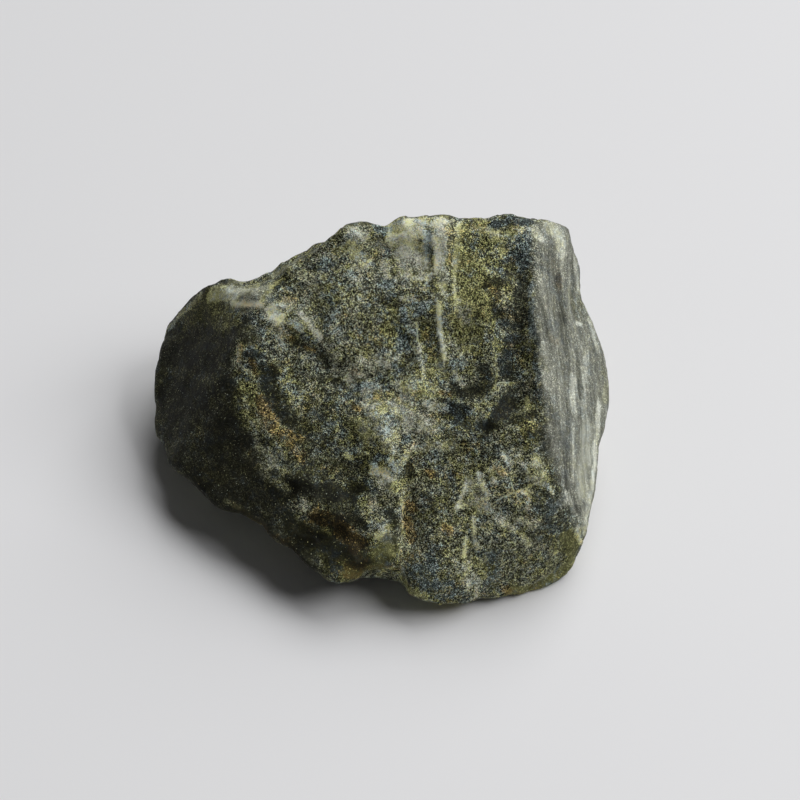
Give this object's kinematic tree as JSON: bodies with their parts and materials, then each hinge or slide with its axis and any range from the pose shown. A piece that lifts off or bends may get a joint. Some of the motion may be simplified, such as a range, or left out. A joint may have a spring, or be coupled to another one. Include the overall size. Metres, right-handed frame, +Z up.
{
  "type": "rough sapphire",
  "caption": "One broken piece of dark green rough sapphire with a sloping front, flat broken faces, small ledges and a flat underside to rest on.",
  "frame": {"origin": "on the resting face, below the middle of the stone's bounding box", "axes": "+X along the longest side, +Y towards the steep back, +Z up from the resting face"},
  "size_m": [0.0332, 0.0266, 0.0171],
  "materials": {
    "rough_sapphire": "frosted, broken mineral surface with a dull sheen, mottled olive green, blue-black and pale grey"
  },
  "bodies": {
    "root": {"rough_sapphire": "rough_sapphire"}
  },
  "joints": []
}
